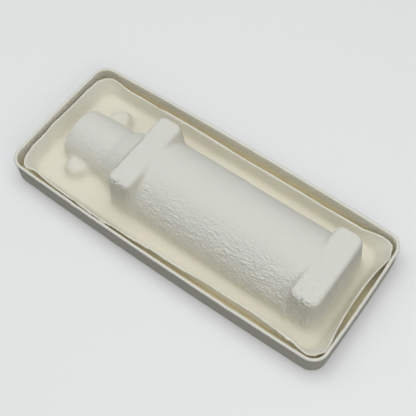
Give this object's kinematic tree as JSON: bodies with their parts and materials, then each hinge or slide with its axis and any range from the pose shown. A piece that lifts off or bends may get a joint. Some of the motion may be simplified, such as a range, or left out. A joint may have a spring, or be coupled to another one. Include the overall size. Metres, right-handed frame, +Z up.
{
  "type": "molded pulp perfume insert",
  "caption": "Molded pulp box insert: a straight-walled frame with a nested cradle whose back is the hollow half of a bottle, with finger scoops beside the cap.",
  "frame": {"origin": "centre of the outer frame's face where it lies on the table", "axes": "+X from the bottle's cap end to its base end, +Y to the far long side in the picture, +Z up from the face to the back of the insert"},
  "size_m": [0.2014, 0.0838, 0.0312],
  "materials": {
    "pulp_frame": "matte",
    "pulp_cradle": "matte"
  },
  "bodies": {
    "root": {"outer_frame": "pulp_frame", "bottle_cradle": "pulp_cradle"}
  },
  "joints": []
}
